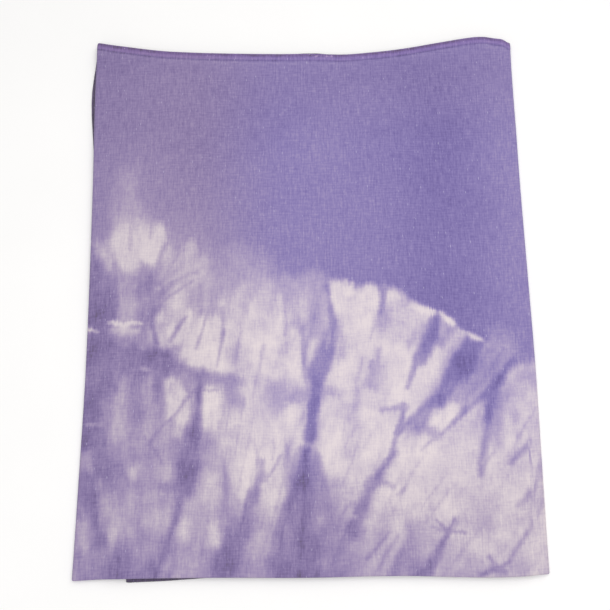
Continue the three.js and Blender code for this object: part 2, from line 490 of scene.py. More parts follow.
def sheet_places():
    """Places across the cloth: coarse ones for all of it, fine ones for the window in them that
    shows, and the numbers of the coarse ones on the window's two sides. The lowest third of each
    side fold is outside the window."""
    width = 2 * HALF_WIDTH
    side = (COARSE_INSETS - RIM_RADIUS) / width
    flap = np.concatenate([side, evenly(side[-1], 1, COARSE / width)[1:]])
    right = evenly(RIGHT_FOLD, MIDDLE, 1 / FOLD_STEPS)
    left = evenly(LEFT_FOLD, LEFT_FLAP, 1 / FOLD_STEPS)
    across = evenly(MIDDLE, LEFT_FOLD, COARSE / width)
    coarse = np.concatenate([flap, right, across, left, [LEFT_FLAP], PATH_END - flap[::-1]])
    hidden = FOLD_STEPS // 3
    first, last = len(flap) + hidden, len(coarse) - len(flap) - 1 - hidden
    across = evenly(MIDDLE, LEFT_FOLD, FINE / width)
    fine = np.concatenate([right[hidden + 1 :], across, left[: FOLD_STEPS - hidden]])
    return coarse, fine, first, last


def sheet_rows():
    """Rows along one panel: coarse ones for both plies, fine ones for the outer ply and the front
    fold, and the number of the coarse one that ends that window, where the fold is done."""
    ply = evenly(0, 1, COARSE / hem_line(0))[1:]
    coarse = hairpin(COARSE_INSETS, ply, COARSE_INSETS, ply)
    violet = evenly(0, VIOLET_SHARE, VIOLET_STEP / hem_line(0))[1:]
    fine_ply = np.concatenate([violet, evenly(VIOLET_SHARE, 1, FINE / hem_line(0))])
    fine = hairpin(HEM_PROFILE["inset"], fine_ply, COARSE_INSETS, ply)
    turned = int(np.argmax(coarse[2] == np.pi))
    fold_end = len(HEM_PROFILE) + len(fine_ply) + FOLD_STEPS
    return coarse, fine[:, :fold_end], turned


def numbered(*grids):
    """Point numbers for grids of points that are listed one after the other."""
    starts = np.cumsum([0] + [grid.size for grid in grids])
    return [start + np.arange(grid.size).reshape(grid.shape) for start, grid in zip(starts, grids)]


def folded_cloth():
    """The whole cloth as one closed sheet, hemmed on all four sides.

    The right side is a coarse grid with a window in it that a fine grid fills. A rim runs round
    its edge: half a circle of the hem's thickness from the right side to the wrong side, bulging
    outwards in the cloth's plane. The wrong side is a coarse grid again.

    Gives the points, their u, v and distance from the edge, and the four-cornered and
    three-cornered faces."""
    places, fine_places, first, last = sheet_places()
    section, fine_section, turned = sheet_rows()
    parts = [
        surface(places, section),
        surface(fine_places, fine_section),
        surface(places[1:-1], section[:, 1:-1], wrong_side=True),
    ]
    points, facing, u, v, from_edge = (
        np.concatenate([part[k].reshape(-1, *part[k].shape[2:]) for part in parts])
        for k in range(5)
    )
    back, front, under = numbered(*(part[2] for part in parts))

    cells = np.ones((back.shape[0] - 1, back.shape[1] - 1), bool)
    cells[first:last, :turned] = False
    quads = [grid_quads(back)[cells.ravel()], grid_quads(front), grid_quads(under[:, ::-1])]
    window = slice(0, turned + 1)
    triangles = [
        strip(front[0], back[first, window], -v),
        strip(back[last, window], front[-1], -v),
        strip(front[:, -1], back[first : last + 1, turned], -u),
    ]

    # The edge in four sides: outer hem, left flap's end, inner hem, right flap's end. Each has
    # its points, the wrong side's points beside it, and which way it goes and faces
    outer_hem = np.concatenate([back[: first + 1, 0], front[:, 0], back[last:, 0]])
    sides = [
        (outer_hem, under[:, 0], "-u", (0, 1, 0)),
        (back[-1], under[-1], "-v", (1, 0, 0)),
        (back[::-1, -1], under[::-1, -1], "+u", (0, 1, 0)),
        (back[0, ::-1], under[0, ::-1], "+v", (-1, 0, 0)),
    ]
    edge = np.concatenate([side[0][:-1] for side in sides])
    lengths = [len(side[0]) - 1 for side in sides]
    outward = np.repeat([side[3] for side in sides], lengths, axis=0).astype(float)
    starts = np.cumsum([0] + lengths)
    corners = starts[:-1]
    outward[corners] = (outward[corners] + outward[corners - 1]) / np.sqrt(2)
    angle = np.linspace(np.pi / 2, -np.pi / 2, RIM_STEPS + 1)[1:, None, None]
    bulge = (np.sin(angle) - 1) * facing[edge] + np.cos(angle) * outward
    rim = (points[edge] + RIM_RADIUS * bulge).reshape(-1, 3)
    rings = np.vstack([edge, len(points) + np.arange(len(rim)).reshape(RIM_STEPS, -1)])
    rings = np.column_stack([rings, rings[:, :1]])
    quads.append(grid_quads(rings.T[:, ::-1]))

    points = np.concatenate([points, rim])
    u = np.concatenate([u, np.tile(u[edge], RIM_STEPS)])
    v = np.concatenate([v, np.tile(v[edge], RIM_STEPS)])
    from_edge = np.concatenate([from_edge, np.zeros(len(rim))])
    at = {"-u": -u, "-v": -v, "+u": u, "+v": v}
    for (_, inside, way, _), start, end in zip(sides, starts, starts[1:]):
        triangles.append(strip(inside, rings[-1, start : end + 1], at[way]))
    return points, (u, v, from_edge), np.concatenate(quads), np.concatenate(triangles)


# --- Stitching -----------------------------------------------------------------------------------

STITCH_PITCH = 3.2
STITCH_LENGTH = 2.4
THREAD_RADIUS = 0.2
THREAD_SIDES = 5

# A stitch by the share of half its length from its middle: how far the thread is lifted off the
# groove, and its thickness as a share of the thread's
STITCH_ARCH = rows(
    "along lift radius",
    (-1, -0.3, 0.6),
    (-0.55, 0.02, 1),
    (0, 0.08, 1),
    (0.55, 0.02, 1),
    (1, -0.3, 0.6),
)

# The lines that the stitches follow have about a point for each millimetre across the cloth, and
# this many along each ply
LINE_ROWS = 300


def stitch_lines():
    """Lines of points in the groove of the four hems, with the way the cloth faces there."""
    width = 2 * HALF_WIDTH
    across = evenly(0, PATH_END, 1 / width)
    outer = np.array([HEM_STITCH_INSET, 0, 0])[:, None]
    inner = np.array([HEM_STITCH_INSET, 0, np.pi])[:, None]
    side = (HEM_STITCH_INSET - RIM_RADIUS) / width
    ply = evenly(0, 1, 1 / LINE_ROWS)[1:]
    along = hairpin(COARSE_INSETS, ply, COARSE_INSETS, ply)
    for places, section in (
        (across, outer),
        (across, inner),
        ([side], along),
        ([PATH_END - side], along),
    ):
        points, facing, *_ = surface(places, section)
        yield points.reshape(-1, 3), facing.reshape(-1, 3)


def stitches():
    """Every stitch of the hems: a short arched thread, with both its ends down in the cloth.

    A stitch is rings round a line from end to end, each lifted off the groove by the arch. Under
    the cloth the stitches are pressed up to lie on the floor."""
    angle = np.arange(THREAD_SIDES) * 2 * np.pi / THREAD_SIDES
    points, quads, caps = [], [], []
    count = 0
    for line, facing in stitch_lines():
        length = np.concatenate([[0], np.cumsum(np.linalg.norm(np.diff(line, axis=0), axis=1))])
        middle = np.arange(STITCH_PITCH, length[-1] - STITCH_PITCH, STITCH_PITCH)
        at = middle[:, None] + STITCH_ARCH["along"] * STITCH_LENGTH / 2
        centre, up = (
            np.stack([np.interp(at, length, part[:, k]) for k in range(3)], -1)
            for part in (line, facing)
        )
        centre = centre + STITCH_ARCH["lift"][:, None] * up
        centre[..., 2] = np.maximum(centre[..., 2], THREAD_RADIUS)
        tangent = centre[:, -1:] - centre[:, :1]
        tangent = tangent / np.linalg.norm(tangent, axis=-1, keepdims=True)
        sideways = np.cross(tangent, up)
        ring = np.cos(angle)[:, None] * up[:, :, None] + np.sin(angle)[:, None] * sideways[:, :, None]
        radius = THREAD_RADIUS * STITCH_ARCH["radius"][:, None, None]
        points.append((centre[:, :, None] + radius * ring).reshape(-1, 3))
        number = count + np.arange(at.size * THREAD_SIDES).reshape(*at.shape, THREAD_SIDES)
        wrapped = np.concatenate([number, number[..., :1]], -1)
        corners = [wrapped[:, :-1, :-1], wrapped[:, :-1, 1:], wrapped[:, 1:, 1:], wrapped[:, 1:, :-1]]
        quads.append(np.stack(corners, -1).reshape(-1, 4))
        caps += [number[:, 0, ::-1], number[:, -1]]
        count += number.size
    return np.concatenate(points), np.concatenate(quads), np.concatenate(caps)


# --- Meshes --------------------------------------------------------------------------------------


def make_mesh(name, points, *faces):
    """A smooth-shaded mesh object from points in millimetres and arrays of faces, with points
    that no face uses left out, and the numbers of the points that are used."""
    used, numbers = np.unique(np.concatenate([part.ravel() for part in faces]), return_inverse=True)
    mesh = bpy.data.meshes.new(name)
    mesh.vertices.add(len(used))
    mesh.vertices.foreach_set("co", (points[used] * MM).ravel())
    sides = np.repeat([part.shape[1] for part in faces], [len(part) for part in faces])
    mesh.loops.add(len(numbers))
    mesh.loops.foreach_set("vertex_index", numbers.ravel())
    mesh.polygons.add(len(sides))
    mesh.polygons.foreach_set("loop_start", np.cumsum(sides) - sides)
    mesh.polygons.foreach_set("use_smooth", np.ones(len(sides), bool))
    mesh.update(calc_edges=True)
    piece = bpy.data.objects.new(name, mesh)
    bpy.context.scene.collection.objects.link(piece)
    return piece, used


def add_values(piece, name, values):
    """A named value on each point of a piece's mesh, for its material to read."""
    piece.data.attributes.new(name, "FLOAT", "POINT").data.foreach_set("value", values)


# --- The tied dyeing -----------------------------------------------------------------------------
#
# The cloth was folded in half, pleated fan-wise round the middle of that fold and bound with a
# tie, so the dye is even outside the tie and ran in between the pleats inside it. A depth of 0 is
# bare cloth and 1 is the full violet.

# The violet outside the tie: its usual depth, a slow unevenness, and broad areas that took more or
# less of the dye, and one paler area of painted highlight along the right fold
VIOLET = 0.83
VIOLET_NOISES = rows("across along depth", (60, 90, 0.03))
VIOLET_AREAS = rows(
    "u v across along deeper",
    (-145, 325, 55, 85, -0.19),
    (-185, 455, 50, 75, -0.06),
    (-25, 340, 65, 85, -0.07),
    # Painted highlight: paler by the right fold, for the light on its round
    (142, 365, 55, 210, 0.11),
    (222, 330, 35, 100, -0.1),
    (-228, 560, 75, 80, 0.08),
)

# How far from the front fold the tie lay, across the cloth, and over what length the dye fades.
# The fade is combed along the threads. Inside the tie the dye is thin all over, under the marks
COMB_NOISES = rows("across along depth", (5, 40, 0.16))
INSIDE = 0.22
TIE = rows(
    "u v soft",
    (-228, 306, 30),
    (-150, 306, 40),
    (-110, 295, 40),
    (-60, 293, 46),
    (-20, 294, 44),
    (12, 288, 24),
    (22, 290, 18),
    (42, 293, 13),
    (52, 287, 14),
    (88, 284, 15),
    (98, 282, 13),
    (108, 273, 9),
    (132, 262, 6),
    (152, 248, 5),
    (178, 232, 6),
    (204, 219, 14),
    (228, 212, 18),
)

# Marks, in the order that they lie over each other. A mark runs from (u0, v0) to (u1, v1). Its
# width goes over start, half and end, and its edge fades over soft. A bent one has its middle
# pushed bow to the left of the way it runs. Millimetres on the flat cloth, from the middle of
# the front fold
MARK = "u0 v0 u1 v1 start half end depth soft bow"

GROUND = rows(
    MARK,
    (-222, 300, -222, 0, 90, 90, 80, 0.79, 60),
    (-170, 300, -160, 170, 90, 90, 60, 0.7, 50),
    (-150, 140, -150, 0, 90, 110, 120, 0.64, 60),
    (-126, 336, -118, 306, 14, 32, 44, 0.5, 22),
    (-120, 300, -104, 262, 50, 40, 30, 0.52, 30),
    (-66, 300, -60, 276, 60, 60, 50, 0.5, 24),
    (-60, 40, -40, 0, 70, 90, 100, 0.61, 50),
    (10, 60, 10, -10, 50, 90, 110, 0.65, 50),
    (54, 84, 44, 50, 14, 18, 18, 0.42, 12),
    (70, 45, 95, 0, 40, 60, 70, 0.41, 40),
    (124, 26, 160, 0, 36, 40, 30, 0.42, 28),
    (-80, 186, -20, 174, 20, 26, 26, 0.42, 20),
    (8, 292, 12, 244, 28, 30, 18, 0.5, 11),
    (-14, 290, -13, 252, 18, 18, 14, 0.46, 12),
    (196, 226, 156, 174, 36, 32, 18, 0.6, 12),
    (197, 190, 190, 158, 12, 18, 10, 0.46, 12),
    (224, 198, 208, 176, 22, 20, 14, 0.45, 14),
    (215, 170, 214, 130, 20, 30, 20, 0.34, 24),
    (-90, 120, -88, 60, 30, 34, 30, 0.5, 30),
)

# Where the pleats held tight: pale petals
PALE = rows(
    MARK,
    (-190, 338, -164, 329, 34, 44, 40, 0.08, 13),
    (-188, 364, -182, 350, 20, 32, 38, 0.2, 14),
    (-153, 351, -155, 330, 16, 22, 22, 0.16, 9),
    (-188, 412, -187, 374, 12, 20, 28, 0.5, 20),
    (-218, 340, -201, 309, 5, 13, 14, 0.3, 9),
    (-187, 322, -185, 256, 24, 20, 18, 0.5, 8),
    (-186, 330, -184, 317, 30, 28, 22, 0.2, 7),
    (-146, 338, -142, 310, 5, 7, 9, 0.34, 8, 2),
    (-118, 338, -120, 310, 4, 7, 9, 0.34, 7),
    (-152, 300, -120, 332, 5, 12, 11, 0.3, 7),
    (-150, 290, -108, 316, 5, 12, 12, 0.32, 7),
    (-146, 276, -108, 304, 6, 11, 11, 0.3, 7),
    (-100, 302, -100, 280, 4, 8, 7, 0.36, 6),
    (-161, 250, -161, 224, 6, 9, 8, 0.34, 5),
    (-146, 268, -145, 230, 6, 20, 18, 0.2, 7),
    (-133, 280, -145, 246, 20, 28, 20, 0.15, 9),
    (-121, 262, -132, 232, 8, 13, 9, 0.14, 6, 2),
    (-106, 256, -118, 208, 8, 22, 24, 0.15, 8),
    (-93, 252, -98, 228, 9, 12, 8, 0.15, 7),
    (-76, 246, -87, 202, 9, 15, 12, 0.15, 7, 2),
    (-70, 284, -76, 214, 8, 12, 9, 0.3, 8),
    (-45, 268, -49, 208, 22, 33, 22, 0.12, 10, 2),
    (-28, 274, -28, 200, 10, 20, 20, 0.15, 9),
    (-60, 206, -56, 186, 12, 14, 12, 0.34, 8),
    (-43, 288, -40, 258, 10, 22, 26, 0.27, 13),
    (-13, 240, -12, 188, 9, 16, 18, 0.06, 6),
    (-138, 188, -128, 170, 16, 20, 18, 0.16, 5),
    (-130, 172, -140, 152, 16, 14, 8, 0.2, 6),
    (-122, 168, -129, 140, 8, 13, 9, 0.2, 6),
    (-97, 179, -99, 138, 15, 19, 14, 0.09, 6),
    (-60, 172, -60, 136, 22, 38, 56, 0.19, 18),
    (-40, 140, -36, 112, 30, 32, 14, 0.15, 10),
    (-64, 140, -62, 78, 14, 22, 9, 0.18, 8, 2),
    (-74, 118, -68, 78, 8, 13, 6, 0.24, 8),
    (-14, 166, -16, 122, 15, 15, 8, 0.05, 6, 2),
    (-31, 108, -37, 62, 11, 18, 14, 0.22, 9),
    (-95, 98, -98, 74, 10, 18, 14, 0.3, 10),
    (-92, 47, -91, 30, 7, 11, 8, 0.25, 7),
    (-46, 42, -52, 22, 16, 22, 16, 0.42, 12),
    (-176, 107, -174, 97, 6, 10, 7, 0.36, 6),
    (-137, 104, -141, 92, 8, 12, 9, 0.3, 7),
    (-191, 178, -189, 100, 9, 16, 11, 0.46, 9),
    (-190, 62, -188, 30, 20, 22, 8, 0.36, 12),
    (-204, 54, -142, 52, 14, 20, 22, 0.44, 14),
    (-206, 76, -160, 75, 6, 9, 6, 0.54, 8),
    (-122, 54, -118, 40, 12, 15, 11, 0.3, 9),
    (-222, 52, -222, 8, 10, 18, 20, 0.42, 11),
    (-219, 124, -216, 102, 8, 14, 12, 0.5, 9),
    (-159, 198, -157, 140, 8, 15, 16, 0.43, 7),
    (-144, 136, -146, 106, 16, 22, 16, 0.46, 10),
    (-126, 14, -112, 6, 16, 18, 14, 0.52, 11),
    (32, 288, 34, 262, 13, 19, 10, 0.15, 7),
    (41, 284, 48, 190, 14, 28, 34, 0.2, 12, 4),
    (66, 283, 64, 256, 16, 20, 14, 0.15, 7),
    (90, 276, 90, 250, 16, 26, 30, 0.15, 9),
    (86, 262, 80, 168, 20, 34, 34, 0.13, 13, 4),
    (38, 222, 42, 184, 10, 28, 28, 0.08, 9, 3),
    (104, 206, 96, 172, 12, 20, 20, 0.1, 8),
    (138, 230, 106, 168, 10, 15, 19, 0.24, 7, 5),
    (21, 166, 24, 108, 12, 24, 20, 0.09, 9),
    (62, 152, 60, 110, 22, 30, 20, 0.14, 11),
    (114, 122, 92, 84, 24, 36, 30, 0.08, 12),
    (86, 130, 80, 102, 18, 22, 14, 0.12, 9),
    (68, 252, 70, 214, 16, 22, 18, 0.12, 9),
    (207, 152, 214, 96, 22, 36, 30, 0.1, 14),
    (128, 146, 147, 162, 12, 14, 9, 0.07, 5),
    (188, 132, 200, 106, 24, 32, 24, 0.16, 16),
    (204, 88, 214, 60, 24, 28, 22, 0.26, 16),
    (216, 184, 224, 176, 10, 12, 10, 0.26, 9),
)

# Where the dye ran in between the pleats
DARK = rows(
    MARK,
    (-220, 314, -222, 246, 16, 38, 30, 0.92, 14),
    (-204, 300, -204, 256, 10, 12, 10, 0.84, 9),
    (-160, 300, -158, 272, 10, 25, 24, 0.8, 10),
    (-160, 280, -163, 252, 22, 17, 9, 0.76, 9),
    (-232, 216, -148, 212, 46, 38, 20, 0.95, 11),
    (-150, 207, -112, 197, 18, 14, 8, 0.76, 9, 2),
    (-116, 197, -70, 188, 14, 15, 9, 0.68, 8),
    (-224, 208, -221, 134, 34, 34, 24, 1.0, 9),
    (-208, 146, -202, 96, 12, 20, 18, 0.92, 8),
    (-190, 124, -186, 100, 10, 14, 12, 0.78, 8),
    (-204, 216, -197, 188, 20, 20, 14, 0.86, 9),
    (-176, 202, -175, 180, 10, 14, 10, 0.78, 8),
    (-151, 210, -151, 170, 10, 7, 4, 0.74, 7),
    (-177, 150, -174, 116, 8, 16, 12, 0.7, 8),
    (-224, 96, -214, 86, 12, 16, 20, 0.86, 12),
    (-210, 90, -182, 88, 12, 8, 6, 0.7, 9),
    (-218, 98, -208, 52, 9, 12, 8, 0.94, 7),
    (-206, 50, -198, 0, 5, 11, 16, 0.78, 9),
    (-184, 34, -182, -4, 10, 28, 42, 0.9, 12),
    (-153, 20, -150, -4, 8, 12, 14, 0.82, 9),
    (-128, 68, -84, 60, 10, 15, 12, 0.52, 10),
    (-109, 184, -113, 136, 5, 7, 12, 0.9, 6),
    (-112, 136, -119, 84, 15, 25, 12, 0.92, 8),
    (-98, 137, -97, 106, 8, 20, 14, 0.58, 10),
    (-122, 92, -130, 56, 10, 8, 7, 0.82, 6),
    (-125, 70, -147, 2, 6, 6, 6, 0.92, 6),
    (-146, 87, -124, 84, 6, 11, 12, 0.8, 7),
    (-44, 112, -54, 74, 4, 6, 8, 0.82, 5, 1),
    (-55, 80, -66, 44, 7, 12, 20, 0.92, 8, 1),
    (-20, 124, -16, 92, 5, 12, 14, 0.55, 9),
    (-70, 46, -81, 0, 15, 18, 21, 0.9, 10),
    (-84, 66, -78, 52, 6, 10, 14, 0.7, 9),
    (-92, 22, -88, -2, 10, 16, 18, 0.8, 10),
    (-78, 184, -70, 168, 18, 18, 12, 0.58, 12),
    (-36, 182, -2, 177, 12, 18, 18, 0.52, 11),
    (-4, 246, -1, 192, 3, 5, 6, 0.55, 5),
    (18, 181, 32, 177, 10, 8, 4, 0.42, 9),
    (-1, 120, -5, 62, 12, 28, 34, 0.86, 8),
    (-2, 82, -13, -6, 36, 50, 54, 0.92, 11),
    (8, 116, 12, 56, 5, 12, 15, 0.7, 8),
    (20, 54, 28, 20, 24, 32, 30, 0.66, 16),
    (18, 43, 50, 40, 14, 14, 9, 0.78, 9),
    (12, 206, 7, 164, 15, 14, 11, 0.88, 6),
    (7, 168, 2, 134, 11, 11, 12, 0.88, 5, 1),
    (34, 256, 35, 216, 5, 9, 12, 0.45, 8),
    (46, 276, 45, 244, 5, 8, 6, 0.3, 8),
    (22, 288, 27, 246, 4, 6, 7, 0.84, 5, 1),
    (27, 252, 18, 204, 7, 9, 12, 0.84, 6, 2),
    (20, 240, 11, 200, 6, 12, 17, 0.76, 7),
    (80, 266, 74, 244, 8, 13, 8, 0.42, 9),
    (79, 285, 75, 260, 7, 6, 3, 0.74, 5, 1),
    (78, 206, 68, 184, 6, 10, 10, 0.4, 8),
    (134, 259, 117, 210, 5, 19, 11, 0.88, 6),
    (148, 246, 137, 228, 14, 11, 6, 0.56, 8),
    (113, 214, 102, 182, 9, 6, 3, 0.76, 5),
    (118, 246, 106, 226, 8, 10, 8, 0.44, 9),
    (172, 235, 158, 207, 18, 20, 20, 0.94, 6),
    (157, 208, 133, 170, 20, 19, 14, 0.94, 7),
    (126, 169, 92, 138, 9, 7, 4, 0.74, 6),
    (120, 158, 108, 142, 9, 11, 13, 0.48, 9),
    (230, 217, 213, 211, 18, 14, 6, 0.78, 9),
    (214, 213, 191, 191, 5, 7, 10, 0.8, 8),
    (183, 162, 169, 98, 9, 8, 4, 0.78, 6),
    (192, 193, 183, 158, 9, 12, 8, 0.8, 7, -2),
    (186, 182, 158, 160, 12, 8, 5, 0.78, 6),
    (190, 158, 186, 124, 8, 12, 8, 0.42, 9),
    (208, 176, 208, 136, 6, 8, 7, 0.38, 8),
    (119, 141, 132, 134, 8, 12, 7, 0.5, 7),
    (85, 118, 61, 85, 5, 6, 9, 0.74, 6),
    (61, 87, 42, 42, 9, 11, 11, 0.74, 8),
    (135, 42, 110, -2, 5, 8, 10, 0.84, 5, 1),
    (99, 48, 95, 8, 8, 14, 14, 0.54, 10),
    (90, 22, 79, -2, 5, 8, 8, 0.68, 6),
    (104, 12, 108, -2, 8, 12, 12, 0.66, 8),
    (174, 7, 186, 6, 5, 7, 4, 0.8, 5, 1),
)

# Fine lines of dye along the folds of single pleats
LINES = rows(
    MARK,
    (-185, 356, -184, 330, 2, 3, 2, 0.46, 4),
    (-172, 318, -169, 298, 2, 3, 4, 0.56, 4),
    (-163, 358, -162, 344, 3, 3, 2, 0.5, 4),
    (-200, 316, -197, 290, 3, 5, 7, 0.7, 5),
    (-158, 302, -137, 350, 4, 4, 3, 0.6, 5, 2),
    (-148, 300, -128, 330, 3, 4, 3, 0.54, 5),
    (-156, 288, -114, 306, 3, 3, 2, 0.54, 4, -1),
    (-152, 272, -118, 296, 3, 3, 2, 0.58, 4),
    (-164, 244, -168, 226, 2, 3, 4, 0.62, 4, -1),
    (-158, 252, -153, 226, 2, 3, 4, 0.66, 3, 1),
    (-124, 259, -139, 232, 2, 3, 3, 0.66, 4),
    (-109, 290, -109, 262, 4, 6, 4, 0.64, 5),
    (-98, 284, -96, 268, 8, 12, 10, 0.62, 8),
    (-103, 262, -113, 224, 2, 3, 3, 0.56, 3),
    (-86, 266, -84, 240, 3, 4, 3, 0.54, 4),
    (-84, 244, -91, 206, 3, 3, 2, 0.66, 3),
    (-68, 240, -74, 208, 2, 3, 3, 0.46, 4),
    (-45, 228, -52, 188, 2, 3, 4, 0.5, 4),
    (-22, 290, -22, 238, 4, 5, 4, 0.5, 5),
    (-109, 196, -110, 168, 5, 5, 5, 0.82, 4),
    (-104, 182, -86, 184, 2, 2, 2, 0.56, 3, -2),
    (-114, 181, -138, 152, 2, 3, 3, 0.62, 4),
    (-137, 153, -157, 127, 3, 4, 3, 0.76, 4, -2),
    (-170, 144, -147, 111, 2, 3, 2, 0.7, 4, 2),
    (-84, 112, -82, 62, 2, 4, 4, 0.68, 4, 1),
    (-52, 126, -48, 106, 2, 3, 3, 0.42, 4),
    (-48, 110, -42, 94, 5, 7, 5, 0.6, 5),
    (-27, 118, -38, 97, 3, 3, 3, 0.6, 3, 1),
    (-35, 132, -35, 112, 2, 2, 2, 0.44, 3, 2),
    (-23, 60, -24, 36, 2, 4, 6, 0.7, 5),
    (-2, 120, -10, 2, 2, 3, 3, 1.1, 4),
    (74, 222, 62, 186, 3, 6, 8, 0.5, 6, 2),
    (66, 210, 65, 198, 3, 5, 3, 0.56, 4),
    (56, 214, 50, 182, 3, 4, 4, 0.34, 5),
    (52, 190, 44, 112, 6, 7, 4, 0.3, 7),
    (96, 165, 90, 138, 4, 5, 5, 0.74, 4, 1),
    (91, 142, 79, 112, 5, 5, 5, 0.72, 4, 1),
    (74, 159, 99, 162, 3, 5, 5, 0.56, 5, 1),
    (88, 136, 104, 150, 3, 5, 6, 0.66, 5),
    (62, 88, 84, 84, 6, 4, 2, 0.6, 5, 3),
    (87, 78, 93, 83, 2, 4, 3, 0.56, 4),
    (159, 161, 146, 148, 5, 4, 3, 0.7, 4),
    (147, 149, 130, 133, 3, 3, 3, 0.62, 4),
    (130, 134, 112, 120, 3, 3, 2, 0.44, 4, -1),
    (171, 108, 184, 118, 3, 4, 2, 0.5, 4),
    (230, 112, 204, 68, 6, 6, 3, 0.53, 6, 6),
    (220, 128, 199, 108, 4, 6, 2, 0.52, 5),
    (230, 70, 190, 14, 3, 4, 3, 0.47, 4, 2),
    (125, 53, 133, 43, 2, 3, 5, 0.74, 3),
    (141, 56, 134, 43, 2, 3, 5, 0.7, 3),
    (151, 41, 135, 42, 2, 3, 5, 0.66, 3, -1),
    (120, 47, 132, 42, 2, 2, 4, 0.58, 3),
    (164, 3, 178, 8, 3, 4, 5, 0.76, 3),
    (173, 19, 179, 9, 2, 3, 5, 0.66, 3),
    (191, 16, 180, 8, 2, 3, 5, 0.64, 3),
    (76, 40, 56, 18, 2, 3, 3, 0.64, 3, 1),
    (87, 38, 66, 8, 2, 3, 3, 0.6, 3, -1),
)

# Bare cloth under the tie's own turns, and a weft thread or two that took no dye
BARE = rows(
    MARK,
    (-203, 254, -189, 249, 3, 5, 4, 0.06, 4, 2),
    (-189, 249, -168, 251, 4, 5, 3, 0.06, 4, 2),
    (-200, 246, -172, 245, 5, 9, 8, 0.36, 6),
    (-229, 247, -214, 244, 3, 5, 2, 0.08, 4, 1),
    (-74, 148, -62, 148, 1.4, 1.4, 1.4, 0.0, 1.5),
    (-222, 150, -202, 149, 2, 3, 2, 0.62, 3),
    (-169, 205, -159, 203, 2, 4, 2, 0.48, 4, -1),
    (108, 266, 129, 261, 6, 8, 5, 0.02, 4, -2),
    (137, 260, 145, 252, 3, 4, 5, 0.0, 4),
    (145, 252, 151, 248, 5, 7, 4, 0.0, 4),
    (165, 239, 176, 232, 3, 6, 3, 0.04, 4, -1),
    (41, 283, 34, 292, 5, 3, 2, 0.06, 4),
    (43, 282, 42, 295, 5, 3, 2, 0.02, 3),
    (44, 281, 48, 292, 6, 5, 3, 0.02, 4),
    (88, 279, 99, 269, 3, 6, 4, 0.06, 6, 1),
    (199, 227, 201, 225, 2, 2, 2, 0.3, 3),
    (42, 57, 45, 56, 2, 2, 2, 0.2, 3),
    (13, 549, 14.5, 549, 1.6, 1.6, 1.6, 0.2, 1.2),
    (25.5, 549, 26.5, 549, 1.6, 1.6, 1.6, 0.15, 1.2),
    (30, 549, 31, 549, 1.6, 1.6, 1.6, 0.2, 1.2),
)

# Bands of painted shade and highlight along the hem, by distance from its edge: deeper, greyer
# shade on the rolled edge and in the stitching's groove, and paler light on the ridge and past the
# hem
HEM_SHADE_BANDS = rows(
    "inset width depth grey",
    (1.9, 2.3, 0.25, 1),
    (5.6, 1.3, -0.03, 0),
    (8.3, 1.1, 0.19, 0.5),
    (11.3, 1.6, -0.05, 0),
)
# How uneven the hem's painted shade and highlight are, and over what lengths
HEM_SHADE_UNEVEN = 0.35
HEM_SHADE_UNEVEN_LENGTHS = (9, 38)

# Painted shade: the turned-under flaps and the inner ply's hem are a deeper, greyer violet all over
UNDER_SHADE_DEPTH = 1.32
UNDER_SHADE_FROM = 238
UNDER_SHADE_FADE = 12
INNER_SHADE_FROM = 520
INNER_SHADE_FADE = 20

# The dye is a little deeper along the front fold
FRONT_DEPTH = 0.07
FRONT_FADE = 45

# The dye's edge wanders by this much, over this distance
WANDER = 1.3
WANDER_LENGTH = 22

# A mark's line has this many steps, its fade is this much longer than its soft edge, and noise
# along the pleats and along the threads feathers it and makes it patchy
MARK_STEPS = 10
SPREAD = 1.5
PLEAT_FEATHER = rows("across along depth", (5, 36, 0.105))
THREAD_FEATHER = rows("across along depth", (4.4, 26, 0.0735))
PATCHY = rows("across along depth", (9, 14, 0.07))

# The pleats run out like rays from a point in front of the fold, and dye creeps along them
RAYS_FROM = (-150, -330)
RAY_RADIUS = 450
PLEAT_NOISES = rows("across along depth", (5, 42, 0.04), (10, 80, 0.045), (22, 50, 0.04))

# Where the dye pooled inside the tie
POOL_NOISES = rows("across along depth", (8, 7, 0.05), (15, 13, 0.08), (30, 24, 0.04))

# Lines of dye in the finest puckers, which come and go over PUCKER_PATCH
PUCKERS = rows("across along depth", (11, 70, 0.15), (18, 110, 0.13))
PUCKER_PATCH = (26, 40)
PUCKER_MEAN = 0.15

# Where the violet is greyed, as the distance where it starts and the length it takes: towards
# the left from the middle, towards the front fold, and a little towards the hem
GREY_LEFT = (10, 120)
GREY_FRONT = (170, 120)
GREY_HEM = (430, 110)
GREY_HEM_SHARE = 0.35

# The hem's redder violet reaches this far from its edge, and then fades
HEM_TINT_REACH = 6
HEM_TINT_FADE = 3

# Half the distance over which the change of the dye's depth is measured
SLOPE_REACH = 1.5


def rays(u, v):
    """Places as distance across the pleats' rays and along them, in millimetres."""
    across, along = u - RAYS_FROM[0], v - RAYS_FROM[1]
    return RAY_RADIUS * np.arctan2(across, along), np.hypot(across, along)


